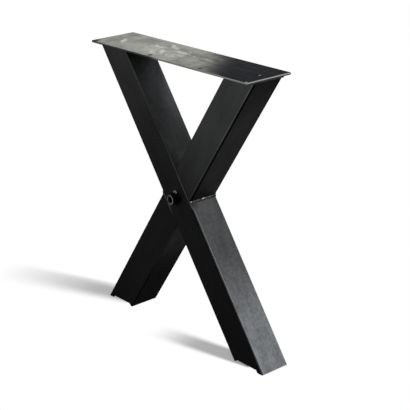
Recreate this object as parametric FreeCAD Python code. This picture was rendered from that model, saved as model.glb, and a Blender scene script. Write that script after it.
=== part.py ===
import FreeCAD, Part
import math
import os

# An X shaped steel table leg, one end frame of a table.
# One square tube runs through from the upper left to the lower right, the other
# is cut in two and butted against it, so all faces of the X lie in two planes.
# A flat bar closes the top and carries the table top, and a heavy nut on the
# front of the crossing takes the tie rod that runs to the other end frame.
#
# Frame: millimetres, +Z up, origin on the floor under the middle of the X,
# X along the top plate, -Y the face with the nut.

# Overall sizes
HEIGHT = 690.0
FOOT_SPAN = 592.0

# Square hollow section of both legs
TUBE_SIDE = 80.0
TUBE_WALL = 3.0
TUBE_CORNER = 3.0

# Flat bar on top
PLATE_LENGTH = 560.0
PLATE_WIDTH = 125.0
PLATE_THICK = 5.0
PLATE_EDGE_ROUND = 0.8

# The heads of the legs end this far short of the ends of the flat bar
HEAD_INSET = 1.0

# Relief sawn out of the front and back walls at each foot
RELIEF_HEIGHT = 6.0
RELIEF_PAD = 17.0
RELIEF_TIP = 2.5

# Closing plate inside each foot, seated above the relief
FOOT_PLATE_THICK = 3.0
FOOT_PLATE_GAP = 0.2

# Tie rod nut, M16 heavy series, one flat towards +X
NUT_FLATS = 27.0
NUT_SIDES = 6
NUT_HEIGHT = 17.0
NUT_CHAMFER_SHARE = 0.93
NUT_CHAMFER_ANGLE = 30.0
THREAD_MAJOR = 16.0
THREAD_MINOR = 13.8
COUNTERSINK_EXTRA = 0.6
NUT_SHIFT_X = -2.0
NUT_SHIFT_Z = -2.5

# Welds
HEAD_WELD_LEG = 4.0
CROSS_WELD_LEG = 4.5
TACK_RADIUS = 5.0

# Worked out from the sizes above
TUBE_TOP = HEIGHT - PLATE_THICK
HEAD_SPAN = PLATE_LENGTH - 2 * HEAD_INSET
HALF = TUBE_SIDE / 2
BORE_SIDE = TUBE_SIDE - 2 * TUBE_WALL
BORE_CORNER = max(TUBE_CORNER - TUBE_WALL, 0.0)

# The lean solves  TUBE_TOP * tan(lean) + TUBE_SIDE / cos(lean) = reach,  where
# reach is the way from the outer top edge of a leg to its outer floor edge.
REACH = (HEAD_SPAN + FOOT_SPAN) / 2
LEAN = math.acos(TUBE_SIDE / math.hypot(REACH, TUBE_TOP)) - math.atan2(TUBE_TOP, REACH)
FLOOR_WIDTH = TUBE_SIDE / math.cos(LEAN)
CROSS_Z = TUBE_TOP - (HEAD_SPAN - FLOOR_WIDTH) / 2 / math.tan(LEAN)
LEG_REACH = 2 * HEIGHT


def vector(x, y, z):
    return FreeCAD.Vector(x, y, z)


def prism(points, y_from, y_to):
    """Extrudes a closed outline drawn in the XZ plane from y_from to y_to."""
    corners = [vector(x, y_from, z) for x, z in points]
    outline = Part.makePolygon(corners + corners[:1])
    return Part.Face(outline).extrude(vector(0, y_to - y_from, 0))


def layer(z_from, z_to):
    """A wide slab between two heights, used to trim the leaning legs."""
    wide = 2 * LEG_REACH
    return Part.makeBox(wide, wide, z_to - z_from, vector(-wide / 2, -wide / 2, z_from))


def square_bar(side, corner, hand):
    """A long square bar through the crossing, leaning to one hand.

    hand is +1 for the through leg, whose foot is on the +X side, and -1 for
    the leg that is cut in two.
    """
    bar = Part.makeBox(side, side, 2 * LEG_REACH, vector(-side / 2, -side / 2, -LEG_REACH))
    if corner > 0:
        long_edges = [edge for edge in bar.Edges if edge.Length > LEG_REACH]
        bar = bar.makeFillet(corner, long_edges)
    bar.rotate(vector(0, 0, 0), vector(0, 1, 0), -hand * math.degrees(LEAN))
    bar.translate(vector(0, 0, CROSS_Z))
    return bar


def foot_relief(hand):
    """The two notches that leave a foot standing on its corners."""
    outer = FOOT_SPAN / 2
    inner = outer - FLOOR_WIDTH
    tilt = math.tan(LEAN)
    outline = [
        (inner + RELIEF_TIP, 0.0),
        (inner + RELIEF_TIP + RELIEF_HEIGHT / tilt, RELIEF_HEIGHT),
        (outer - RELIEF_PAD - RELIEF_HEIGHT * tilt, RELIEF_HEIGHT),
        (outer - RELIEF_PAD, 0.0),
    ]
    outline = [(hand * x, z) for x, z in outline]
    front = prism(outline, -HALF, -HALF + TUBE_WALL)
    back = prism(outline, HALF - TUBE_WALL, HALF)
    return front.fuse(back)


def leg_tube(hand):
    """One leg as a whole tube, cut level at the floor and under the plate."""
    tube = square_bar(TUBE_SIDE, TUBE_CORNER, hand)
    tube = tube.cut(square_bar(BORE_SIDE, BORE_CORNER, hand))
    tube = tube.common(layer(0.0, TUBE_TOP))
    return tube.cut(foot_relief(hand))


def half_tubes():
    """The second leg, mitred off at both sides of the through leg."""
    cut_leg = leg_tube(-1).cut(square_bar(TUBE_SIDE, 0.0, 1))
    lower, upper = sorted(cut_leg.Solids, key=lambda solid: solid.CenterOfMass.z)
    return upper, lower


def foot_plate(hand):
    """The plate welded inside a foot, with edges bevelled to the lean."""
    side = BORE_SIDE - 2 * FOOT_PLATE_GAP
    plug = square_bar(side, BORE_CORNER, hand)
    return plug.common(layer(RELIEF_HEIGHT, RELIEF_HEIGHT + FOOT_PLATE_THICK))


def top_plate():
    """Hot rolled flat bar: long edges slightly rounded, ends sawn square."""
    corner = vector(-PLATE_LENGTH / 2, -PLATE_WIDTH / 2, TUBE_TOP)
    plate = Part.makeBox(PLATE_LENGTH, PLATE_WIDTH, PLATE_THICK, corner)
    along_x = [edge for edge in plate.Edges if edge.BoundBox.XLength > PLATE_LENGTH / 2]
    return plate.makeFillet(PLATE_EDGE_ROUND, along_x)


def rectangle(x_from, x_to, half_depth, z):
    corners = [
        vector(x_from, -half_depth, z),
        vector(x_to, -half_depth, z),
        vector(x_to, half_depth, z),
        vector(x_from, half_depth, z),
    ]
    return Part.makePolygon(corners + corners[:1])


def head_weld(hand):
    """Fillet weld round the head of a leg, hand +1 for the head on the -X side."""
    outer = HEAD_SPAN / 2
    drift = HEAD_WELD_LEG * math.tan(LEAN)
    outer_leg = min(HEAD_WELD_LEG, HEAD_INSET)
    root = sorted([-hand * (outer - drift), -hand * (outer - drift - FLOOR_WIDTH)])
    rim = sorted([-hand * (outer + outer_leg), -hand * (outer - FLOOR_WIDTH - HEAD_WELD_LEG)])
    low = rectangle(root[0], root[1], HALF, TUBE_TOP - HEAD_WELD_LEG)
    high = rectangle(rim[0], rim[1], HALF + HEAD_WELD_LEG, TUBE_TOP)
    bead = Part.makeLoft([low, high], True, True)
    return bead.cut(square_bar(TUBE_SIDE, TUBE_CORNER, hand))


def cross_weld(side):
    """Weld all round one butt joint of the crossing, side +1 for the upper one.

    It fills the two V corners with fillets and the rounded corners of the
    through leg flush with the front and back faces, where it is ground flat.
    The outline is drawn from the crossing, u up along the through leg and n
    square to it, towards the half tube.
    """
    turn = 2 * LEAN
    middle = HALF / math.tan(turn)
    reach = HALF / math.sin(turn)
    rise = CROSS_WELD_LEG * math.sin(turn)
    shift = CROSS_WELD_LEG * math.cos(turn)
    outline = [
        (middle - reach - CROSS_WELD_LEG, HALF - TUBE_CORNER),
        (middle + reach + CROSS_WELD_LEG, HALF - TUBE_CORNER),
        (middle + reach + CROSS_WELD_LEG, HALF),
        (middle + reach + shift, HALF + rise),
        (middle - reach + shift, HALF + rise),
        (middle - reach - CROSS_WELD_LEG, HALF),
    ]
    sine, cosine = math.sin(LEAN), math.cos(LEAN)
    placed = [
        (side * (n * cosine - u * sine), CROSS_Z + side * (n * sine + u * cosine))
        for u, n in outline
    ]
    halves = square_bar(TUBE_SIDE, TUBE_CORNER, -1).cut(square_bar(TUBE_SIDE, 0.0, 1))
    bead = prism(placed, -HALF, HALF).cut(halves)
    return bead.cut(square_bar(TUBE_SIDE, TUBE_CORNER, 1))


def nut_axis():
    return NUT_SHIFT_X, CROSS_Z + NUT_SHIFT_Z


def nut_corner():
    """From the axis of the nut to one of its corners."""
    return NUT_FLATS / 2 / math.cos(math.pi / NUT_SIDES)


def nut_blank():
    """Hexagon with corners up and down, chamfered on its outer face."""
    x, z = nut_axis()
    corner = nut_corner()
    turns = [2 * math.pi * (step + 0.5) / NUT_SIDES for step in range(NUT_SIDES)]
    outline = [(x + corner * math.cos(turn), z + corner * math.sin(turn)) for turn in turns]
    hexagon = prism(outline, -HALF, -HALF - NUT_HEIGHT)
    face_radius = NUT_FLATS / 2 * NUT_CHAMFER_SHARE
    root_radius = face_radius + NUT_HEIGHT / math.tan(math.radians(NUT_CHAMFER_ANGLE))
    cone = Part.makeCone(
        face_radius, root_radius, NUT_HEIGHT, vector(x, -HALF - NUT_HEIGHT, z), vector(0, 1, 0)
    )
    return hexagon.common(cone)


def tie_rod_nut():
    x, z = nut_axis()
    mouth = vector(x, -HALF - NUT_HEIGHT, z)
    bore = Part.makeCylinder(THREAD_MINOR / 2, NUT_HEIGHT, mouth, vector(0, 1, 0))
    mouth_radius = THREAD_MAJOR / 2 + COUNTERSINK_EXTRA
    depth = mouth_radius - THREAD_MINOR / 2
    countersink = Part.makeCone(mouth_radius, THREAD_MINOR / 2, depth, mouth, vector(0, 1, 0))
    return nut_blank().cut(bore.fuse(countersink))


def nut_tack(side):
    """A round tack weld where a corner of the nut meets the tube."""
    x, z = nut_axis()
    centre = vector(x, -HALF, z + side * nut_corner())
    tack = Part.makeSphere(TACK_RADIUS, centre)
    outside = Part.makeBox(
        2 * TACK_RADIUS, TACK_RADIUS, 2 * TACK_RADIUS,
        centre - vector(TACK_RADIUS, TACK_RADIUS, TACK_RADIUS),
    )
    return tack.common(outside).cut(nut_blank())


def pieces():
    upper, lower = half_tubes()
    return {
        "top_plate": top_plate(),
        "leg_through": leg_tube(1),
        "leg_upper_half": upper,
        "leg_lower_half": lower,
        "foot_plate_right": foot_plate(1),
        "foot_plate_left": foot_plate(-1),
        "tie_rod_nut": tie_rod_nut(),
        "weld_head_left": head_weld(1),
        "weld_head_right": head_weld(-1),
        "weld_cross_upper": cross_weld(1),
        "weld_cross_lower": cross_weld(-1),
        "weld_nut_top": nut_tack(1),
        "weld_nut_bottom": nut_tack(-1),
    }


os.makedirs("parts", exist_ok=True)
for name, shape in pieces().items():
    if shape.ShapeType == "Compound" and len(shape.Solids) == 1:
        shape = shape.Solids[0]
    print(name, shape.ShapeType, len(shape.Solids), round(shape.Volume, 1), shape.isValid())
    shape.exportStep(os.path.join("parts", name + ".step"))
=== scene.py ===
import math

import bmesh
import bpy
from mathutils import Matrix, Vector, noise


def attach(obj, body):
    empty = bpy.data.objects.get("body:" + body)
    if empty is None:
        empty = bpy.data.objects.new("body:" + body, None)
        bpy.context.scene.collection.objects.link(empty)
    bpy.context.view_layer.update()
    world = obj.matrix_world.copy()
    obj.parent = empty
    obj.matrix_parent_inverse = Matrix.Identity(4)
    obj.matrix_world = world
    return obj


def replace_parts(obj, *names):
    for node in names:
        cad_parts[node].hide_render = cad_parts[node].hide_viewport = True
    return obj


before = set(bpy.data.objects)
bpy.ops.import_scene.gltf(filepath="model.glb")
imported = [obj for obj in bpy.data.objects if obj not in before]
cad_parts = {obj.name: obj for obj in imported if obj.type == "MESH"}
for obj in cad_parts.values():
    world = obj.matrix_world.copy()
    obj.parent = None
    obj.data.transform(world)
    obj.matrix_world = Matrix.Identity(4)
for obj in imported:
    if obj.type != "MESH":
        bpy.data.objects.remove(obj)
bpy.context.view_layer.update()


# The camera stands to the right of the frame, a little above it, with a long lens.
# Its place, turn and lens come from fitting the straight edges of the steel.
CAMERA_PLACE = (2.061679, -1.669938, 1.331334)
CAMERA_YAW = 50.1971
CAMERA_PITCH = 20.7871
CAMERA_ROLL = 1.2924
CAMERA_LENS = 104.4305
CAMERA_SENSOR = 36.0
CAMERA_REACH = (0.05, 100.0)

camera_data = bpy.data.cameras.new("camera")
camera_data.sensor_width = CAMERA_SENSOR
camera_data.lens = CAMERA_LENS
camera_data.clip_start, camera_data.clip_end = CAMERA_REACH
camera = bpy.data.objects.new("camera", camera_data)
bpy.context.scene.collection.objects.link(camera)
swing = Matrix.Rotation(math.radians(CAMERA_YAW), 4, "Z")
swing = swing @ Matrix.Rotation(math.radians(90 - CAMERA_PITCH), 4, "X")
swing = swing @ Matrix.Rotation(math.radians(-CAMERA_ROLL), 4, "Z")
camera.matrix_world = Matrix.Translation(CAMERA_PLACE) @ swing
bpy.context.scene.camera = camera
bpy.context.scene.view_settings.view_transform = "Standard"


# The room: an endless white sweep that glows by itself, and is plain matt board only in
# the two bands where the feet throw their shadows. A low sun lights the floor alone. A
# soft lamp from the upper right and a smaller one at the left front light the steel.
WHITE = (1, 1, 1, 1)
FLOOR_SIZE = 30.0
FLOOR_DROP = 0.0003
FLOOR_BOUNCE = (0.1, 0.1, 0.1, 1)
BOARD_WHITE = (0.8, 0.8, 0.8, 1)
BOARD_GLOW = 0.30
LEFT_BAND = {
    "near": (-0.247, 0.000), "far": (-0.643, -0.146), "half_widths": (0.034, 0.054),
    "softness": (0.020, 0.050), "fade": 0.26, "curve": "LINEAR",
}
RIGHT_BAND = {
    "near": (0.235, -0.0140), "far": (-0.072, -0.080), "half_widths": (0.025, 0.027),
    "softness": (0.003, 0.022), "fade": 0.47, "curve": "SMOOTHSTEP",
}
BAND_START = (-0.03, 0.0)
SURROUND_FILL = 0.22
SUN_DISTANCE = 4
LOW_SUN = {"azimuth": 16.5, "elevation": 22.0, "strength": 6.1, "spread": 5.0}
KEY_SUN = {"azimuth": 12.0, "elevation": 48.0, "strength": 3.2, "spread": 30.0}
FRONT_LAMP_PLACE = (-0.9, -1.1, 0.8)
FRONT_LAMP_AIM = (0.0, 0.0, 0.4)
FRONT_LAMP_SIZE = 0.7
FRONT_LAMP_POWER = 5.0


def node(tree, kind, inputs=None, **settings):
    """Adds a shader node, sets it, and sets or links its inputs."""
    made = tree.nodes.new("ShaderNode" + kind)
    for name, value in settings.items():
        setattr(made, name, value)
    for name, value in (inputs or {}).items():
        if isinstance(value, bpy.types.NodeSocket):
            tree.links.new(value, made.inputs[name])
        else:
            made.inputs[name].default_value = value
    return made


def maths(tree, operation, first, second=0.0, clamp=False):
    """One sum or comparison in a shader."""
    made = node(tree, "Math", {0: first, 1: second}, operation=operation, use_clamp=clamp)
    return made.outputs[0]


def product(tree, first, *factors):
    """Multiplies shares, so that a place counts only where all of them do."""
    for factor in factors:
        first = maths(tree, "MULTIPLY", first, factor)
    return first


def step(tree, value, low, high, out_low=0.0, out_high=1.0):
    """A smooth step from out_low at low to out_high at high."""
    limits = {"Value": value, "From Min": low, "From Max": high, "To Min": out_low, "To Max": out_high}
    return node(tree, "MapRange", limits, interpolation_type="SMOOTHSTEP").outputs[0]


def seen_ray(tree):
    """1 for a ray that shows the background, straight or in a gloss or a glass."""
    path = node(tree, "LightPath")
    seen = maths(tree, "MAXIMUM", path.outputs["Is Camera Ray"], path.outputs["Is Glossy Ray"])
    return maths(tree, "MAXIMUM", seen, path.outputs["Is Transmission Ray"])


def place_mesh(name, shape):
    """A new object at the origin from a finished bmesh."""
    mesh = bpy.data.meshes.new(name)
    shape.to_mesh(mesh)
    shape.free()
    made = bpy.data.objects.new(name, mesh)
    bpy.context.scene.collection.objects.link(made)
    return made


def shadow_band(tree, vector, near, far, half_widths, softness, fade, curve):
    """1 on the middle of a band from near to far, 0 beside it and past its end."""
    run = Vector(far) - Vector(near)
    placed = node(
        tree, "Mapping",
        {
            "Vector": vector, "Location": (*near, 0), "Rotation": (0, 0, math.atan2(run.y, run.x)),
            "Scale": (run.length, 1, 1),
        },
        vector_type="TEXTURE",
    )
    along, aside = node(tree, "SeparateXYZ", {0: placed.outputs[0]}).outputs[:2]
    half = node(tree, "MapRange", {"Value": along, "To Min": half_widths[0], "To Max": half_widths[1]})
    soft = node(tree, "MapRange", {"Value": along, "To Min": softness[0], "To Max": softness[1]})
    outer = maths(tree, "ADD", half.outputs[0], soft.outputs[0])
    inner = maths(tree, "SUBTRACT", half.outputs[0], soft.outputs[0])
    beside = step(tree, maths(tree, "ABSOLUTE", aside), outer, inner)
    limits = {"Value": along, "From Min": 1.0, "From Max": fade}
    fading = node(tree, "MapRange", limits, interpolation_type=curve).outputs[0]
    return product(tree, beside, fading, step(tree, along, *BAND_START))


sheet = bmesh.new()
bmesh.ops.create_grid(sheet, x_segments=1, y_segments=1, size=FLOOR_SIZE / 2)
bmesh.ops.translate(sheet, verts=sheet.verts, vec=(0, 0, -FLOOR_DROP))
floor = place_mesh("floor", sheet)

floor_paint = bpy.data.materials.new("floor_white")
floor_paint.use_nodes = True
tree = floor_paint.node_tree
tree.nodes.clear()
ground = node(tree, "TexCoord").outputs["Object"]
left_band = shadow_band(tree, ground, **LEFT_BAND)
right_band = shadow_band(tree, ground, **RIGHT_BAND)
board = maths(tree, "MAXIMUM", left_band, right_band)
clean = node(tree, "Emission", {"Strength": 1.0})
glow = node(tree, "Emission", {"Strength": BOARD_GLOW})
matt = node(tree, "BsdfDiffuse", {"Color": BOARD_WHITE})
lit = node(tree, "AddShader", {0: glow.outputs[0], 1: matt.outputs[0]})
seen = node(tree, "MixShader", {0: board, 1: clean.outputs[0], 2: lit.outputs[0]})
bounce = node(tree, "BsdfDiffuse", {"Color": FLOOR_BOUNCE})
mixed = node(tree, "MixShader", {0: seen_ray(tree), 1: bounce.outputs[0], 2: seen.outputs[0]})
node(tree, "OutputMaterial", {"Surface": mixed.outputs[0]})
floor.data.materials.append(floor_paint)

world = bpy.data.worlds.new("surround")
bpy.context.scene.world = world
world.use_nodes = True
tree = world.node_tree
tree.nodes.clear()
fill = node(tree, "Background", {"Color": WHITE, "Strength": SURROUND_FILL})
clear = node(tree, "Background", {"Color": WHITE, "Strength": 1.0})
mixed = node(tree, "MixShader", {0: seen_ray(tree), 1: fill.outputs[0], 2: clear.outputs[0]})
node(tree, "OutputWorld", {"Surface": mixed.outputs[0]})


def hang_lamp(name, kind, place, aim, power):
    """A lamp that shines from place to aim and isn't seen itself."""
    data = bpy.data.lights.new(name, kind)
    data.energy = power
    lamp = bpy.data.objects.new(name, data)
    bpy.context.scene.collection.objects.link(lamp)
    lamp.visible_camera = False
    back = Vector(place) - Vector(aim)
    lamp.matrix_world = Matrix.Translation(place) @ back.to_track_quat("Z", "Y").to_matrix().to_4x4()
    return lamp


def hang_sun(name, azimuth, elevation, strength, spread):
    """A sun in a direction given in degrees, softer with more spread."""
    turn, height = math.radians(azimuth), math.radians(elevation)
    level = SUN_DISTANCE * math.cos(height)
    place = (level * math.cos(turn), level * math.sin(turn), SUN_DISTANCE * math.sin(height))
    lamp = hang_lamp(name, "SUN", place, (0, 0, 0), strength)
    lamp.data.angle = math.radians(spread)
    return lamp


def flag(lamps, name, state):
    """Keeps the lamps' light on the floor alone, or off it, as flags on stands would."""
    group = bpy.data.collections.new(name)
    group.objects.link(floor)
    group.collection_objects[0].light_linking.link_state = state
    for lamp in lamps:
        lamp.light_linking.receiver_collection = group


low_sun = hang_sun("low_sun", **LOW_SUN)
key = hang_sun("key", **KEY_SUN)
front = hang_lamp("front", "AREA", FRONT_LAMP_PLACE, FRONT_LAMP_AIM, FRONT_LAMP_POWER)
front.data.size = FRONT_LAMP_SIZE
flag([low_sun], "floor_alone", "INCLUDE")
flag([key, front], "not_the_floor", "EXCLUDE")


# The legs: square steel tube as it left the mill, under a blue black scale with a dull
# shine. Its colour is painted lighter towards the top and darker at the floor, as painted
# light and shade. Some corners are paler, partly scraped and partly painted edge highlights,
# and the upper face of the through leg is painted a bluish grey as painted light.
LEAN = 34.878607
CROSS_Z = 0.354694
TUBE_HALF = 0.04
TUBE_CORNER = 0.003
STEEL_TINT = (0.4, 0.4, 0.4, 1)
SCALE_DARK_AND_SHADE = (0.0065, 0.0065, 0.0063, 1)
SCALE = (0.0105, 0.0107, 0.0107, 1)
SCALE_PAINTED_LIGHT = (0.0210, 0.0212, 0.0213, 1)
SCALE_PAINTED_LIGHTER = (0.0302, 0.0316, 0.0310, 1)
HALVES_SIDE_LIGHT = (0.0270, 0.0272, 0.0270, 1)
SHADE_BLACK = (0.0015, 0.0015, 0.0015, 1)
CORNER_PALE = (0.075, 0.077, 0.078, 1)
CORNER_BRIGHT = (0.19, 0.195, 0.20, 1)
THROUGH_SIDE_LIGHT = (0.115, 0.120, 0.126, 1)
SCALE_DRAWN_OUT = (1, 1, 0.3)
SCALE_GRAIN = 0.3

# The steps of the finishes are (from, to), or (from, to, share at from, share at to).
# Along a leg they are in metres up from the crossing, and across it or back from the
# middle of the tube.
INNER_FACE = (TUBE_HALF - 0.8 * TUBE_CORNER, TUBE_HALF - 0.1 * TUBE_CORNER)
ROUNDED_CORNER = (2 * TUBE_HALF - TUBE_CORNER, 2 * TUBE_HALF - 0.6 * TUBE_CORNER)
INNER_HALF = (0.0, TUBE_HALF / 2)
FRONT_HALF = (0.0, -TUBE_HALF / 2)
BACK_HALF = (0.0, TUBE_HALF / 2)
IN_PATCHES = (0.3, 0.6)


def new_finish(name, metal, gloss):
    """A material, its node tree and its shader, for bare or scaled steel."""
    finish = bpy.data.materials.new(name)
    finish.use_nodes = True
    shader = finish.node_tree.nodes["Principled BSDF"]
    shader.inputs["Metallic"].default_value = metal
    shader.inputs["Specular IOR Level"].default_value = gloss
    shader.inputs["Specular Tint"].default_value = STEEL_TINT
    return finish, finish.node_tree, shader


def cloud(tree, vector, scale, detail=3.0, roughness=0.5, distortion=0.0):
    """A soft noise that lies mostly between 0.3 and 0.7."""
    made = node(
        tree, "TexNoise",
        {
            "Vector": vector, "Scale": scale, "Detail": detail, "Roughness": roughness,
            "Distortion": distortion,
        },
    )
    return made.outputs["Fac"]


def spread(tree, noisy, low=0.0, high=1.0):
    """Spreads a cloud out to values from low to high."""
    return step(tree, noisy, 0.3, 0.7, low, high)


def add_grain(tree, patches, grain, share):
    """Mixes a fine grain into broad patches."""
    broad = maths(tree, "MULTIPLY", patches, 1 - share)
    return maths(tree, "ADD", broad, maths(tree, "MULTIPLY", grain, share))


def blend(tree, share, first, second):
    """Mixes two colours by share."""
    made = node(tree, "Mix", data_type="RGBA")
    for socket, value in ((made.inputs[0], share), (made.inputs[6], first), (made.inputs[7], second)):
        if isinstance(value, bpy.types.NodeSocket):
            tree.links.new(value, socket)
        else:
            socket.default_value = value
    return made.outputs[2]


def finish_surface(tree, shader, colour, roughness, height, bump_strength, bump_height):
    """Joins a colour, a roughness and a bump to the shader."""
    tree.links.new(colour, shader.inputs["Base Color"])
    tree.links.new(roughness, shader.inputs["Roughness"])
    bump = node(tree, "Bump", {"Height": height, "Strength": bump_strength, "Distance": bump_height})
    tree.links.new(bump.outputs[0], shader.inputs["Normal"])


def along_leg(tree, hand):
    """Coordinates on a leg from the crossing: X square to it, Y back, Z up along it.

    The through leg has hand 1, and the two halves have hand -1.
    """
    lean = math.radians(LEAN) * hand
    place = (-math.sin(lean) * CROSS_Z, 0, -math.cos(lean) * CROSS_Z)
    coords = node(tree, "TexCoord").outputs["Object"]
    made = node(tree, "Mapping", {"Vector": coords, "Location": place, "Rotation": (0, lean, 0)})
    return made.outputs[0]


def paint_dark_corner(tree, leg, colour, line, along_share):
    """Lays a near black line of painted shade on the inner front corner of a leg."""
    across, back = node(tree, "SeparateXYZ", {0: leg}).outputs[:2]
    front_half = step(tree, back, *FRONT_HALF)
    inner_half = step(tree, across, *INNER_HALF)
    return blend(tree, product(tree, line, front_half, inner_half, along_share), colour, SHADE_BLACK)


BELOW_CROSSING = (-0.035, -0.05)
PALE_CORNER_PATCHES = (0.35, 0.6, 0.05, 0.22)
PALE_CORNER_ALONG = (0.17, 0.04)
THROUGH_SIDE_LIGHT_TOP = (0.12, 0.33, 0.07, 0.40)
THROUGH_SIDE_LIGHT_NEAR_BACK = (-0.035, -0.005, 0.4, 1.0)
THROUGH_SIDE_LIGHT_NEAR_ALONG = (0.115, 0.075, 0.0, 0.26)
THROUGH_SIDE_LIGHT_FRONT_END = (0.24, 0.19)
THROUGH_SIDE_LIGHT_FRONT_START = (0.085, 0.12)
THROUGH_SIDE_LIGHT_FRONT_BACK = (0.0, -0.03, 0.0, 0.085)
THROUGH_SIDE_LIGHT_FOOT = (-0.14, -0.43, 0.26, 0.93)
THROUGH_SIDE_LIGHT_TONE = (0.25, 0.75, 0.80, 1.12)
EDGE_HIGHLIGHT_BACK = (-0.0335, -0.0350)
EDGE_HIGHLIGHT_PATCHES = (0.3, 0.6, 0.10, 0.42)
THROUGH_DARK_CORNER = (2 * TUBE_HALF - 1.6 * TUBE_CORNER, 2 * TUBE_HALF - TUBE_CORNER, 0.0, 0.9)


def wear_and_light_through(tree, leg, colour, clouds):
    """Dull pale corners from a little above the crossing down, partly wear and partly painted edge
    highlights, the inner face painted a bluish grey as painted light, painted highlights on its edges, and
    a painted shade line on its front corner.
    """
    patches, tone = clouds
    across, back, along = node(tree, "SeparateXYZ", {0: leg}).outputs
    inner_face = step(tree, across, *INNER_FACE)
    corner = maths(tree, "ADD", maths(tree, "ABSOLUTE", across), maths(tree, "ABSOLUTE", back))
    edge = step(tree, corner, *ROUNDED_CORNER)
    # The corners are paler in patches from a little above the crossing down: partly worn steel, partly
    # painted edge highlights.
    pale_corners = product(tree, edge, step(tree, patches, *PALE_CORNER_PATCHES), step(tree, along, *PALE_CORNER_ALONG))
    colour = blend(tree, pale_corners, colour, CORNER_PALE)

    below = step(tree, along, *BELOW_CROSSING)
    # Painted light: the inner face, which faces up and to the right, is painted a bluish grey, most
    # towards the foot below the crossing and towards the plate above it, and more near its front edge
    # above the crossing, where the key lamp is kept off by the other leg.
    top = step(tree, along, *THROUGH_SIDE_LIGHT_TOP)
    near = product(tree, step(tree, back, *THROUGH_SIDE_LIGHT_NEAR_BACK), step(tree, along, *THROUGH_SIDE_LIGHT_NEAR_ALONG))
    strip = product(
        tree, step(tree, along, *THROUGH_SIDE_LIGHT_FRONT_END), step(tree, along, *THROUGH_SIDE_LIGHT_FRONT_START),
        step(tree, back, *THROUGH_SIDE_LIGHT_FRONT_BACK),
    )
    high = maths(tree, "ADD", maths(tree, "MAXIMUM", top, near), strip)
    low = step(tree, along, *THROUGH_SIDE_LIGHT_FOOT)
    flecks = cloud(tree, leg, scale=120.0, detail=4.0, roughness=0.6)
    side_light = product(
        tree, node(tree, "Mix", {0: below, 2: high, 3: low}).outputs[0],
        step(tree, tone, *THROUGH_SIDE_LIGHT_TONE), spread(tree, flecks, 0.82, 1.18),
    )
    colour = blend(tree, maths(tree, "MULTIPLY", side_light, inner_face, clamp=True), colour, THROUGH_SIDE_LIGHT)

    # Painted highlight: a bright line on the inner face along its front corner, below the crossing.
    front_edge_highlight = product(
        tree, inner_face, below, step(tree, back, *EDGE_HIGHLIGHT_BACK), step(tree, patches, *EDGE_HIGHLIGHT_PATCHES),
    )
    colour = blend(tree, front_edge_highlight, colour, CORNER_BRIGHT)
    # A bright line on the back inner corner below the crossing: partly bare steel, partly a painted
    # highlight on the edge.
    bright_back_edge = product(
        tree, edge, below, step(tree, back, *BACK_HALF), step(tree, across, *INNER_HALF),
        step(tree, patches, *IN_PATCHES),
    )
    colour = blend(tree, bright_back_edge, colour, CORNER_BRIGHT)
    return paint_dark_corner(tree, leg, colour, step(tree, corner, *THROUGH_DARK_CORNER), below)


SIDE_TOWARDS_TOP = (0.44, 0.26, 0.42, 1.0)
SIDE_TOWARDS_FOOT = (-0.09, -0.33)
SCRAPE_INSET = 0.0040
SCRAPE_WIDTH = (0.0015, 0.0006)
SCRAPE_ALONG = (-0.06, 0.26)
SCRAPE_PATCHES = (0.3, 0.6, 0.35, 0.85)
HALVES_DARK_CORNER = (0.0570, 0.0582, 0.0, 0.9)
HALVES_DARK_CORNER_SLANT = 0.5
HALVES_DARK_CORNER_ALONG = (-0.10, -0.03, 0.35, 1.0)


def wear_and_light_halves(tree, leg, colour, clouds):
    """The inner face, painted paler on the upper half as painted light and darkening to a near black
    painted shade towards the foot, and a scraped line beside its corner.
    """
    patches = clouds[0]
    across, back, along = node(tree, "SeparateXYZ", {0: leg}).outputs
    # Painted light and shade: the inner face is paler near the crossing and above it, and near black
    # towards the foot.
    shade = blend(tree, step(tree, along, *SIDE_TOWARDS_TOP), SCALE, HALVES_SIDE_LIGHT)
    shade = blend(tree, step(tree, along, *SIDE_TOWARDS_FOOT), shade, SHADE_BLACK)
    colour = blend(tree, step(tree, across, *INNER_FACE), colour, shade)

    off_line = maths(tree, "ABSOLUTE", maths(tree, "SUBTRACT", across, TUBE_HALF - SCRAPE_INSET))
    scraped = product(
        tree, step(tree, off_line, *SCRAPE_WIDTH), step(tree, along, *SCRAPE_ALONG),
        step(tree, back, *FRONT_HALF), step(tree, patches, *SCRAPE_PATCHES),
    )
    colour = blend(tree, scraped, colour, CORNER_PALE)
    slanted = maths(tree, "MULTIPLY", maths(tree, "ABSOLUTE", back), HALVES_DARK_CORNER_SLANT)
    line = step(tree, maths(tree, "ADD", across, slanted), *HALVES_DARK_CORNER)
    return paint_dark_corner(tree, leg, colour, line, step(tree, along, *HALVES_DARK_CORNER_ALONG))


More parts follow.
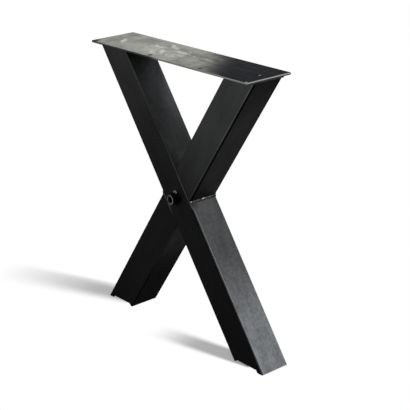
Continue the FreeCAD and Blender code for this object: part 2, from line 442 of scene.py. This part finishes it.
def leg_finish(name, hand, top_light, top_light_at, foot_shade_at, lay_wear_and_light):
    """The mottled scale of a leg, painted lighter towards the top and darker towards the foot as painted
    light and shade, and the wear and painted light that the given function lays on it.
    """
    finish, tree, shader = new_finish(name, metal=0.8, gloss=0.02)
    leg = along_leg(tree, hand)
    along = node(tree, "SeparateXYZ", {0: leg}).outputs["Z"]
    drawn = node(tree, "Mapping", {"Vector": leg, "Scale": SCALE_DRAWN_OUT}).outputs[0]
    patches = cloud(tree, drawn, scale=28.0, detail=5.0, roughness=0.6)
    grain = cloud(tree, leg, scale=380.0, roughness=0.7)
    tone = add_grain(tree, patches, grain, SCALE_GRAIN)
    # Painted light and shade: the leg is lighter towards the top and darker towards the foot.
    colour = blend(tree, step(tree, along, *top_light_at), SCALE, top_light)
    colour = blend(tree, step(tree, along, *foot_shade_at), colour, SCALE_DARK_AND_SHADE)
    colour = lay_wear_and_light(tree, leg, colour, (patches, tone))
    mottle = spread(tree, tone, 0.86, 1.14)
    colour = node(tree, "VectorMath", {0: colour, "Scale": mottle}, operation="SCALE").outputs[0]
    roughness = spread(tree, tone, 0.52, 0.44)
    finish_surface(tree, shader, colour, roughness, tone, bump_strength=0.10, bump_height=0.0004)
    return finish


def dress(node_name, finish):
    """Gives a carried over solid its material."""
    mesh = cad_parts[node_name].data
    mesh.materials.clear()
    mesh.materials.append(finish)


through_finish = leg_finish(
    "mill_scale_through", 1, SCALE_PAINTED_LIGHT, top_light_at=(0.0, 0.42), foot_shade_at=(0.0, -0.42), lay_wear_and_light=wear_and_light_through,
)
halves_finish = leg_finish(
    "mill_scale_halves", -1, SCALE_PAINTED_LIGHTER, top_light_at=(-0.04, 0.24), foot_shade_at=(-0.24, -0.50),
    lay_wear_and_light=wear_and_light_halves,
)
dress("leg_through", through_finish)
dress("leg_upper_half", halves_finish)
dress("leg_lower_half", halves_finish)


# The closing plates inside the feet, just above the notches. They are cut from black
# sheet to fit the tube and welded in, and have the same scale as the leg round them.
dress("foot_plate_right", through_finish)
dress("foot_plate_left", halves_finish)


# The welds of the crossing. The half tubes are butted against the through leg and
# welded all round. The bead is ground flush in front and behind, where only a thin
# bright line is left, and stands as a rippled bead in the four corners of the X.
RIPPLE_PITCH = 0.0022
RIPPLE_SIDES = 12
RIPPLE_START = 0.8
RIPPLE_RINGS = ((0.96, 0.35), (1.0, 0.4), (0.84, 0.25))
RIPPLE_SWELL = 0.16
RIPPLE_SWELL_STEP = 0.37
RIPPLE_SWAY = 0.10
RIPPLE_SWAY_STEP = 0.51
SIDE_CORNER_X = 0.048759
SIDE_BEAD_OFFSET = 0.0006
SIDE_BEAD_RADIUS = 0.0039
TIP_CORNER_Z = 0.069950
TIP_BEAD_OFFSET = 0.0020
TIP_BEAD_RADIUS = 0.0030
BEAD_END_Y = TUBE_HALF - 0.0008
BEAD_METAL = (0.075, 0.075, 0.075, 1)
BEAD_HIGHLIGHT = (0.42, 0.42, 0.41, 1)
BEAD_SPATTER = (0.38, 0.62)
BEAD_HIGHLIGHT_GRAIN = (0.35, 0.6)
BEAD_HIGHLIGHT_SPOTS = (
    ((0.0495, -0.0390, 0.3575), 0.006),
    ((0.0495, 0.0000, 0.3590), 0.007),
    ((0.0495, 0.0400, 0.3575), 0.006),
)


def patch(tree, vector, place, half_sizes, turn=0.0, soft=0.0):
    """1 in the middle of an oval patch, fading to 0 at its rim."""
    centred = node(
        tree, "Mapping",
        {"Vector": vector, "Location": place, "Rotation": (0, 0, math.radians(turn)), "Scale": half_sizes},
        vector_type="TEXTURE",
    )
    far = node(tree, "VectorMath", {0: centred.outputs[0]}, operation="LENGTH").outputs["Value"]
    return step(tree, far, 1.0, soft)


def ring_edges(shape, ring):
    """The edges that join the points of a ring."""
    rim = set(ring)
    return [edge for edge in shape.edges if edge.verts[0] in rim and edge.verts[1] in rim]


def lay_bead(shape, start, end, radius, seed):
    """Adds a rippled round bead from start to end, closed at both ends."""
    start, end = Vector(start), Vector(end)
    run = end - start
    ripples = max(2, round(run.length / RIPPLE_PITCH))
    facing = run.to_track_quat("Z", "Y").to_matrix().to_4x4()
    made = bmesh.ops.create_circle(
        shape, segments=RIPPLE_SIDES, radius=radius * RIPPLE_START, cap_ends=True,
        matrix=Matrix.Translation(start) @ facing,
    )
    ring = made["verts"]
    width = RIPPLE_START
    for ripple in range(ripples):
        swell = 1.0 + RIPPLE_SWELL * noise.noise(Vector((seed, ripple * RIPPLE_SWELL_STEP, 0.0)))
        sway = RIPPLE_SWAY * radius * noise.noise(Vector((seed, 0.0, ripple * RIPPLE_SWAY_STEP)))
        for share, part in RIPPLE_RINGS:
            grown = bmesh.ops.extrude_edge_only(shape, edges=ring_edges(shape, ring))
            ring = [item for item in grown["geom"] if isinstance(item, bmesh.types.BMVert)]
            bmesh.ops.translate(shape, verts=ring, vec=run / ripples * part)
            middle = sum((vert.co for vert in ring), Vector()) / len(ring)
            scale = share * swell / width
            around = Matrix.Translation(-middle)
            bmesh.ops.scale(shape, verts=ring, vec=(scale, scale, scale), space=around)
            width = share * swell
        bmesh.ops.translate(shape, verts=ring, vec=(0, 0, sway))
    bmesh.ops.contextual_create(shape, geom=ring_edges(shape, ring))


def finish_bead(name, shape, finish):
    """Makes smooth shaded weld metal from a shape and sets it on the frame."""
    bmesh.ops.recalc_face_normals(shape, faces=shape.faces)
    for face in shape.faces:
        face.smooth = True
    made = place_mesh(name, shape)
    made.data.materials.append(finish)
    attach(made, "root")
    return made


bead_finish, tree, shader = new_finish("weld_bead", metal=0.7, gloss=0.1)
coords = node(tree, "TexCoord").outputs["Object"]
spatter = cloud(tree, coords, scale=160.0, detail=4.0, roughness=0.7)
fine = cloud(tree, coords, scale=900.0, detail=2.0)
colour = blend(tree, step(tree, spatter, *BEAD_SPATTER), SCALE, BEAD_METAL)
# Painted highlights: three bright spots on the bead in the right hand corner of the crossing.
for spot, reach in BEAD_HIGHLIGHT_SPOTS:
    highlight_spot = patch(tree, coords, spot, (reach, reach, reach), soft=0.5)
    colour = blend(tree, product(tree, highlight_spot, step(tree, fine, *BEAD_HIGHLIGHT_GRAIN)), colour, BEAD_HIGHLIGHT)
finish_surface(
    tree, shader, colour, spread(tree, fine, 0.4, 0.6), fine, bump_strength=0.3, bump_height=0.0003,
)

for name, x, z, radius in (
    ("bead_cross_sides", SIDE_CORNER_X + SIDE_BEAD_OFFSET, 0, SIDE_BEAD_RADIUS),
    ("bead_cross_tips", 0, TIP_CORNER_Z + TIP_BEAD_OFFSET, TIP_BEAD_RADIUS),
):
    shape = bmesh.new()
    for hand in (1, -1):
        place_x, place_z = hand * x, CROSS_Z + hand * z
        seed = 7.3 + hand * (11 * x + 5 * z)
        lay_bead(shape, (place_x, -BEAD_END_Y, place_z), (place_x, BEAD_END_Y, place_z), radius, seed)
    finish_bead(name, shape, bead_finish)

SEAM_BRIGHT = (0.120, 0.122, 0.120, 1)
SEAM_INSET = 0.0007
SEAM_WIDTH = (0.0014, 0.0003)
SEAM_PATCHES = (0.3, 0.6, 0.45, 1.0)
GROUND_OFF_ACROSS = (0.0, -0.01)
GROUND_OFF_ALONG = (-0.012, -0.034)

seam_finish, tree, shader = new_finish("weld_ground_flush", metal=0.6, gloss=0.03)
leg = along_leg(tree, 1)
on_leg = node(tree, "SeparateXYZ", {0: leg}).outputs
across, along = on_leg["X"], on_leg["Z"]
blotches = cloud(tree, leg, scale=70.0)
grain = cloud(tree, leg, scale=600.0, detail=2.0)
to_corner = maths(tree, "SUBTRACT", maths(tree, "ABSOLUTE", across), TUBE_HALF - SEAM_INSET)
line = step(tree, maths(tree, "ABSOLUTE", to_corner), *SEAM_WIDTH)
ground_off = product(tree, step(tree, across, *GROUND_OFF_ACROSS), step(tree, along, *GROUND_OFF_ALONG))
line = product(
    tree, line, step(tree, blotches, *SEAM_PATCHES), maths(tree, "SUBTRACT", 1.0, ground_off),
)
colour = blend(tree, spread(tree, blotches), SCALE_DARK_AND_SHADE, SCALE)
colour = blend(tree, line, colour, SEAM_BRIGHT)
finish_surface(
    tree, shader, colour, spread(tree, grain, 0.5, 0.35), grain, bump_strength=0.15, bump_height=0.0003,
)
dress("weld_cross_upper", seam_finish)
dress("weld_cross_lower", seam_finish)


# The nut for the tie rod: a heavy hexagon nut of blackened steel with a real
# thread, its outer face chamfered, with a painted highlight in a ring round the mouth.
NUT_X = -0.0020
NUT_Z = 0.352194
NUT_FLATS = 0.027
NUT_CORNER = NUT_FLATS / math.sqrt(3)
NUT_HEIGHT = 0.017
NUT_FACE_RADIUS = 0.01256
NUT_CHAMFER = 30
NUT_MOUTH_Y = -TUBE_HALF - NUT_HEIGHT
BARREL_REACH = 0.020
TURNED_STEPS = 48
THREAD_ROOT = 0.0080
THREAD_CREST = 0.0069
THREAD_PITCH = 0.002
THREAD_STEPS = 32
THREAD_OUTLINE = ((THREAD_CREST, 0.0), (THREAD_CREST, 0.2), (THREAD_ROOT, 0.55), (THREAD_ROOT, 0.65))
TAP_SPARE_TURNS = 3
MOUTH_RIM = (THREAD_ROOT + 0.0014, NUT_MOUTH_Y - 0.001)
MOUTH_BASE = (THREAD_CREST - 0.0004, NUT_MOUTH_Y + 0.0015)
MERGED = 0.000001
SLIVER = 0.00002
NUT_DARK = (0.006, 0.006, 0.006, 1)
NUT_FACE_HIGHLIGHT = (0.17, 0.17, 0.165, 1)
NUT_STRETCH = (1.1, 0, 1)
RING_DEPTH = (0.0016, 0.0004)
RING_INNER = (THREAD_ROOT + 0.0004, THREAD_ROOT + 0.0016)
RING_OUTER = (NUT_FACE_RADIUS + 0.0002, NUT_FACE_RADIUS - 0.0008)
RING_PATCHES = (0.3, 0.65, 0.5, 1.0)
RING_ACROSS = (-0.010, 0.010, 0.45, 1.0)


def carve(target, tool, operation):
    """Cuts or trims target with tool, and removes tool."""
    cut = target.modifiers.new("cut", "BOOLEAN")
    cut.operation = operation
    cut.solver = "EXACT"
    cut.object = tool
    bpy.context.view_layer.update()
    worked = target.evaluated_get(bpy.context.evaluated_depsgraph_get())
    mesh = bpy.data.meshes.new_from_object(worked)
    target.modifiers.clear()
    target.data = mesh
    bpy.data.objects.remove(tool)


def revolve(name, outline):
    """A closed solid turned round the axis of the nut, outline in (radius, y)."""
    shape = bmesh.new()
    verts = [shape.verts.new((NUT_X + radius, y, NUT_Z)) for radius, y in outline]
    edges = [shape.edges.new(pair) for pair in zip(verts, verts[1:])]
    bmesh.ops.spin(
        shape, geom=verts + edges, cent=(NUT_X, 0, NUT_Z), axis=(0, 1, 0), dvec=(0, 0, 0),
        angle=2 * math.pi, steps=TURNED_STEPS, use_merge=True, use_duplicate=False,
    )
    bmesh.ops.remove_doubles(shape, verts=shape.verts, dist=MERGED)
    bmesh.ops.recalc_face_normals(shape, faces=shape.faces)
    return place_mesh(name, shape)


def tap():
    """A threaded rod longer than the nut, for cutting its thread."""
    shape = bmesh.new()
    first = NUT_MOUTH_Y - TAP_SPARE_TURNS * THREAD_PITCH
    turns = round(NUT_HEIGHT / THREAD_PITCH) + 2 * TAP_SPARE_TURNS
    verts = []
    for turn in range(turns):
        for radius, part in THREAD_OUTLINE:
            y = first + (turn + part) * THREAD_PITCH
            verts.append(shape.verts.new((NUT_X + radius, y, NUT_Z)))
    verts.append(shape.verts.new((NUT_X + THREAD_CREST, first + turns * THREAD_PITCH, NUT_Z)))
    edges = [shape.edges.new(pair) for pair in zip(verts, verts[1:])]
    bmesh.ops.spin(
        shape, geom=verts + edges, cent=(NUT_X, 0, NUT_Z), axis=(0, 1, 0),
        dvec=(0, THREAD_PITCH / THREAD_STEPS, 0), angle=2 * math.pi, steps=THREAD_STEPS,
        use_merge=False, use_duplicate=False,
    )
    bmesh.ops.remove_doubles(shape, verts=shape.verts, dist=MERGED)
    rim = [edge for edge in shape.edges if edge.is_boundary]
    bmesh.ops.holes_fill(shape, edges=rim, sides=0)
    bmesh.ops.triangulate(shape, faces=[face for face in shape.faces if len(face.verts) > 4])
    bmesh.ops.recalc_face_normals(shape, faces=shape.faces)
    return place_mesh("tap", shape)


shape = bmesh.new()
upright = Matrix.Rotation(math.pi / 2, 4, "X")
bmesh.ops.create_cone(
    shape, cap_ends=True, segments=6, depth=NUT_HEIGHT,
    radius1=NUT_CORNER, radius2=NUT_CORNER,
    matrix=Matrix.Translation((NUT_X, NUT_MOUTH_Y + NUT_HEIGHT / 2, NUT_Z)) @ upright,
)
nut = place_mesh("nut", shape)
chamfer_depth = (BARREL_REACH - NUT_FACE_RADIUS) * math.tan(math.radians(NUT_CHAMFER))
barrel = revolve("barrel", (
    (0.0, NUT_MOUTH_Y), (NUT_FACE_RADIUS, NUT_MOUTH_Y), (BARREL_REACH, NUT_MOUTH_Y + chamfer_depth),
    (BARREL_REACH, NUT_MOUTH_Y + BARREL_REACH), (0.0, NUT_MOUTH_Y + BARREL_REACH),
))
carve(nut, barrel, "INTERSECT")
carve(nut, tap(), "DIFFERENCE")
mouth = revolve("mouth", ((0.0, MOUTH_RIM[1]), MOUTH_RIM, MOUTH_BASE, (0.0, MOUTH_BASE[1])))
carve(nut, mouth, "DIFFERENCE")
shape = bmesh.new()
shape.from_mesh(nut.data)
bmesh.ops.remove_doubles(shape, verts=shape.verts, dist=SLIVER)
bmesh.ops.dissolve_degenerate(shape, edges=shape.edges, dist=SLIVER)
shape.to_mesh(nut.data)
shape.free()
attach(nut, "root")
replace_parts(nut, "tie_rod_nut")

nut_finish, tree, shader = new_finish("nut_blackened", metal=0.7, gloss=0.05)
coords = node(tree, "TexCoord").outputs["Object"]
mouth_middle = (NUT_X, NUT_MOUTH_Y, NUT_Z)
offset = node(tree, "VectorMath", {0: coords, 1: mouth_middle}, operation="SUBTRACT").outputs[0]
flat = node(tree, "VectorMath", {0: offset, 1: NUT_STRETCH}, operation="MULTIPLY").outputs[0]
radius = node(tree, "VectorMath", {0: flat}, operation="LENGTH").outputs["Value"]
beside, depth = node(tree, "SeparateXYZ", {0: offset}).outputs[:2]
nut_blotches = cloud(tree, coords, scale=220.0)
# Painted highlight: a bright ring in patches round the mouth on the outer face, brighter to the right.
ring = product(
    tree, step(tree, depth, *RING_DEPTH), step(tree, radius, *RING_INNER), step(tree, radius, *RING_OUTER),
    step(tree, nut_blotches, *RING_PATCHES), step(tree, beside, *RING_ACROSS),
)
colour = blend(tree, ring, NUT_DARK, NUT_FACE_HIGHLIGHT)
finish_surface(
    tree, shader, colour, spread(tree, nut_blotches, 0.45, 0.3), nut_blotches, bump_strength=0.2, bump_height=0.0002,
)
nut.data.materials.clear()
nut.data.materials.append(nut_finish)


# Two tack welds hold the nut at its upper and lower corner: small lumps of weld
# metal, each frozen half on the nut and half on the tube.
TACK_RADIUS = 0.005
TACK_SHAPE = (1.12, 0.95, 0.9)
TACK_LUMPS = 0.16
TACK_LUMP_SCALE = 380
TACK_SINK = 0.0004
TACK_HIGHLIGHT = (0.34, 0.34, 0.33, 1)
TACK_SPATTER = (0.35, 0.6)
TACK_UPPER = (NUT_Z - 0.001, NUT_Z + 0.001)


def lay_tack(name, hand):
    """A lump of weld metal on the upper corner of the nut, hand 1, or the lower, -1."""
    shape = bmesh.new()
    bmesh.ops.create_icosphere(shape, subdivisions=3, radius=TACK_RADIUS)
    for vert in shape.verts:
        vert.co *= 1.0 + TACK_LUMPS * noise.noise(vert.co * TACK_LUMP_SCALE + Vector((hand * 3.7, 0, 0)))
    bmesh.ops.scale(shape, verts=shape.verts, vec=TACK_SHAPE)
    centre = (NUT_X, -TUBE_HALF, NUT_Z + hand * (NUT_CORNER - TACK_SINK))
    bmesh.ops.translate(shape, verts=shape.verts, vec=centre)
    cut = bmesh.ops.bisect_plane(
        shape, geom=shape.verts[:] + shape.edges[:] + shape.faces[:], dist=MERGED,
        plane_co=(0, -TUBE_HALF + TACK_SINK, 0), plane_no=(0, 1, 0), clear_outer=True,
    )
    rim = [item for item in cut["geom_cut"] if isinstance(item, bmesh.types.BMEdge)]
    bmesh.ops.holes_fill(shape, edges=rim, sides=0)
    return finish_bead(name, shape, tack_finish)


tack_finish, tree, shader = new_finish("weld_tack", metal=0.3, gloss=0.1)
coords = node(tree, "TexCoord").outputs["Object"]
spatter = cloud(tree, coords, scale=260.0, detail=4.0, roughness=0.7)
# Painted light and shade: the upper tack is bright and spattered, the lower one dark scale.
upper = step(tree, node(tree, "SeparateXYZ", {0: coords}).outputs["Z"], *TACK_UPPER)
colour = blend(tree, step(tree, spatter, *TACK_SPATTER), BEAD_METAL, TACK_HIGHLIGHT)
colour = blend(tree, upper, SCALE, colour)
finish_surface(
    tree, shader, colour, spread(tree, spatter, 0.4, 0.6), spatter, bump_strength=0.3, bump_height=0.0003,
)
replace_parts(lay_tack("tack_nut_top", 1), "weld_nut_top")
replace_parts(lay_tack("tack_nut_bottom", -1), "weld_nut_bottom")


# The welds of the leg heads: a rippled bead all round each head, under the plate.
# The outer bead is thin, because the head ends just short of the end of the plate.
HEAD_OUTER = 0.279
HEAD_WIDTH = 0.0975
HEAD_TOP = 0.685
FACE_BEAD_RADIUS = 0.0030
FACE_BEAD_OFFSET = 0.0010
INNER_BEAD_RADIUS = 0.0026
INNER_BEAD_OFFSET = 0.0012
OUTER_BEAD_RADIUS = 0.0015
OUTER_BEAD_OFFSET = 0.0008


def lay_head_beads(name, hand):
    """The four beads round the head of the right leg, hand 1, or the left, -1."""
    shape = bmesh.new()
    outer = hand * (HEAD_OUTER - OUTER_BEAD_OFFSET)
    inner = hand * (HEAD_OUTER - HEAD_WIDTH - INNER_BEAD_OFFSET)
    face = TUBE_HALF + FACE_BEAD_OFFSET
    for number, (start, end, drop, radius) in enumerate((
        ((outer, -face), (inner, -face), FACE_BEAD_OFFSET, FACE_BEAD_RADIUS),
        ((outer, face), (inner, face), FACE_BEAD_OFFSET, FACE_BEAD_RADIUS),
        ((inner, -TUBE_HALF), (inner, TUBE_HALF), INNER_BEAD_OFFSET, INNER_BEAD_RADIUS),
        ((outer, -TUBE_HALF), (outer, TUBE_HALF), OUTER_BEAD_OFFSET, OUTER_BEAD_RADIUS),
    )):
        height = HEAD_TOP - drop
        lay_bead(shape, (*start, height), (*end, height), radius, hand * 2.9 + 1.7 * number)
    return finish_bead(name, shape, bead_finish)


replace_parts(lay_head_beads("bead_head_right", 1), "weld_head_right")
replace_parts(lay_head_beads("bead_head_left", -1), "weld_head_left")


# The flat bar on top: hot rolled, with sawn ends. Two thirds of it are grey with pale
# smears of chalk dust, and the rest is black and glossier. The grey is a painted reflection
# of a bright light, and the black is partly black scale and partly a painted dark reflection.
PLATE_TOP = 0.69
PLATE_END = 0.28
PLATE_TINT = (0.395, 0.400, 0.415, 1)
GREY_REFLECTION = (0.212, 0.214, 0.194, 1)
GREY_REFLECTION_LIGHT = (0.360, 0.361, 0.330, 1)
GREY_PALE = (0.38, 0.38, 0.355, 1)
BLACK_DEEP = (0.0034, 0.0037, 0.0044, 1)
BLACK_PALER = (0.0225, 0.0235, 0.0252, 1)
BLACK_EDGE = (0.035, 0.036, 0.036, 1)
EDGE_PALE_RIGHT = (0.16, 0.16, 0.155, 1)
SAWN = (0.34, 0.34, 0.33, 1)
CHALK = (0.62, 0.62, 0.58, 1)
PIT_DARK = (0.018, 0.018, 0.018, 1)

# A place on the plate is given by x, y, half its length and half its width, and a smear
# also by its turn in degrees.
PALE_PLACE = (-0.110, -0.020, 0.165, 0.085)
PALE_SHARE = 0.55
DULL_PLACE = (0.018, 0.006, 0.044, 0.045)
DULL_SHARE = 0.20
CHALK_SMEARS = (
    (-0.110, 0.009, 0.030, 0.006, 0),
    (-0.022, 0.008, 0.032, 0.006, 0),
    (0.072, 0.006, 0.030, 0.005, -4),
    (-0.085, 0.036, 0.026, 0.006, -38),
    (-0.066, -0.016, 0.026, 0.007, -42),
    (-0.083, -0.034, 0.016, 0.007, -30),
    (-0.222, -0.010, 0.026, 0.008, -50),
)
SMEAR_SPREAD = 1.1
DUST_PLACE = (-0.060, 0.004, 0.105, 0.058)
DUST_SWIRLS = (0.060, 0.004, 0.0, 0.8)
DUST_IN_GRAIN = (0.3, 0.6, 0.35, 0.88)
DARK_RIMS = ((-0.280, -0.0625, 0.024, 0.026), (0.280, 0.0, 0.006, 0.090))
DARK_RIM_SHARE = 0.85
PITS = ((-0.0600, -0.0550, 0.0075, 0.0090), (0.1176, -0.0560, 0.0055, 0.0085))
NICK_AND_CORNER_HIGHLIGHT = ((0.2520, -0.0026, 0.0035, 0.0045), (0.2745, -0.0610, 0.0055, 0.0035))

PLATE_GRAIN = 0.25
PLATE_TONES = (0.36, 0.64)
RAGGED_BY = 0.016
BLACK_END_SLANT = 0.71
BLACK_END_RAGGED = 0.09
BLACK_END_ALONG = (0.028, 0.161)
BLACK_STREAK_STEP = (0.42, 0.68)
BLACK_END_DEEPEST = (0.16, 0.27, 0.0, 0.5)
EDGE_ALONG = (-0.060, -0.015)
BELOW_TOP = (PLATE_TOP - 0.0004, PLATE_TOP - 0.0012)
END_FACE = (PLATE_END - 0.0008, PLATE_END - 0.0002)
SAWN_BAND = (PLATE_TOP - 0.0028, PLATE_TOP - 0.0020)
PLATE_ROUGHNESS = (0.0, 1.0, 0.6, 0.34)


def streaks_along(tree, vector, stretch, **noise_settings):
    """A cloud drawn out along the plate."""
    drawn = node(tree, "Mapping", {"Vector": vector, "Scale": (stretch, 1, 1)}).outputs[0]
    return cloud(tree, drawn, **noise_settings)


def on_top(tree, vector, x, y, half_length, half_width, turn=0.0, soft=0.0):
    """1 in the middle of an oval place on the top of the plate, 0 from its rim on."""
    return patch(tree, vector, (x, y, PLATE_TOP), (half_length, half_width, 1), turn, soft)


plate_finish, tree, shader = new_finish("plate_steel_worn", metal=0.8, gloss=0.012)
shader.inputs["Specular Tint"].default_value = PLATE_TINT
coords = node(tree, "TexCoord").outputs["Object"]
x_axis, y_axis, z_axis = node(tree, "SeparateXYZ", {0: coords}).outputs
patches = cloud(tree, coords, scale=26.0, detail=5.0, roughness=0.6, distortion=0.4)
grain = cloud(tree, coords, scale=420.0, roughness=0.7)
tone = add_grain(tree, patches, grain, PLATE_GRAIN)
# Painted reflection: the mottled grey of the top stands for a bright light mirrored in it.
colour = blend(tree, step(tree, tone, *PLATE_TONES), GREY_REFLECTION, GREY_REFLECTION_LIGHT)

wander = node(tree, "TexNoise", {"Vector": coords, "Scale": 60.0, "Detail": 3.0})
offset = node(tree, "VectorMath", {0: wander.outputs["Color"], 1: (0.5, 0.5, 0.5)}, operation="SUBTRACT")
shift = node(tree, "VectorMath", {0: offset.outputs[0], "Scale": RAGGED_BY}, operation="SCALE")
ragged = node(tree, "VectorMath", {0: coords, 1: shift.outputs[0]}, operation="ADD").outputs[0]
pale = on_top(tree, ragged, *PALE_PLACE, soft=0.1)
colour = blend(tree, product(tree, pale, PALE_SHARE), colour, GREY_PALE)
dull = on_top(tree, ragged, *DULL_PLACE, soft=0.2)
colour = blend(tree, product(tree, dull, DULL_SHARE), colour, PIT_DARK)

chalk = 0.0
for x, y, half_length, half_width, turn in CHALK_SMEARS:
    half_sizes = (SMEAR_SPREAD * half_length, SMEAR_SPREAD * half_width)
    smear = on_top(tree, ragged, x, y, *half_sizes, turn, soft=0.3)
    chalk = maths(tree, "MAXIMUM", smear, chalk)
swirls = streaks_along(tree, coords, 0.5, scale=46.0, detail=2.0, distortion=0.8)
swirl = step(tree, maths(tree, "ABSOLUTE", maths(tree, "SUBTRACT", swirls, 0.5)), *DUST_SWIRLS)
dusted = on_top(tree, ragged, *DUST_PLACE, soft=0.6)
chalk = maths(tree, "MAXIMUM", chalk, product(tree, swirl, dusted))
colour = blend(tree, product(tree, chalk, step(tree, grain, *DUST_IN_GRAIN)), colour, CHALK)

# Black scale and painted dark reflection: the right end turns black along a ragged, slanted line, and
# nearly black at the very end.
slant = maths(tree, "ADD", x_axis, maths(tree, "MULTIPLY", y_axis, BLACK_END_SLANT))
streaks = streaks_along(tree, coords, 0.2, scale=90.0)
uneven = maths(tree, "MULTIPLY", maths(tree, "SUBTRACT", streaks, 0.5), BLACK_END_RAGGED)
black_end = step(tree, maths(tree, "ADD", slant, uneven), *BLACK_END_ALONG)
black = blend(tree, step(tree, streaks, *BLACK_STREAK_STEP), BLACK_DEEP, BLACK_PALER)
black = blend(tree, step(tree, x_axis, *BLACK_END_DEEPEST), black, SHADE_BLACK)
colour = blend(tree, black_end, colour, black)
# Dark pits, a bright nick near the right end, and a painted highlight on the front right corner.
for marks, mark_colour in ((PITS, PIT_DARK), (NICK_AND_CORNER_HIGHLIGHT, SAWN)):
    for mark in marks:
        colour = blend(tree, on_top(tree, coords, *mark, soft=0.4), colour, mark_colour)
# Painted shade: a dark strip along the top at the right end. A dark patch also lies at the left front
# corner.
for place in DARK_RIMS:
    rim = on_top(tree, coords, *place, soft=0.5)
    colour = blend(tree, product(tree, rim, DARK_RIM_SHARE), colour, BLACK_DEEP)

# The long sides are dark at the left and paler towards the right end.
edge = blend(tree, step(tree, x_axis, *EDGE_ALONG), BLACK_EDGE, EDGE_PALE_RIGHT)
colour = blend(tree, step(tree, z_axis, *BELOW_TOP), colour, edge)
sawn = blend(tree, step(tree, z_axis, *SAWN_BAND), BLACK_EDGE, SAWN)
colour = blend(tree, step(tree, x_axis, *END_FACE), colour, sawn)
roughness = step(tree, black_end, *PLATE_ROUGHNESS)
finish_surface(tree, shader, colour, roughness, tone, bump_strength=0.15, bump_height=0.0004)
dress("top_plate", plate_finish)
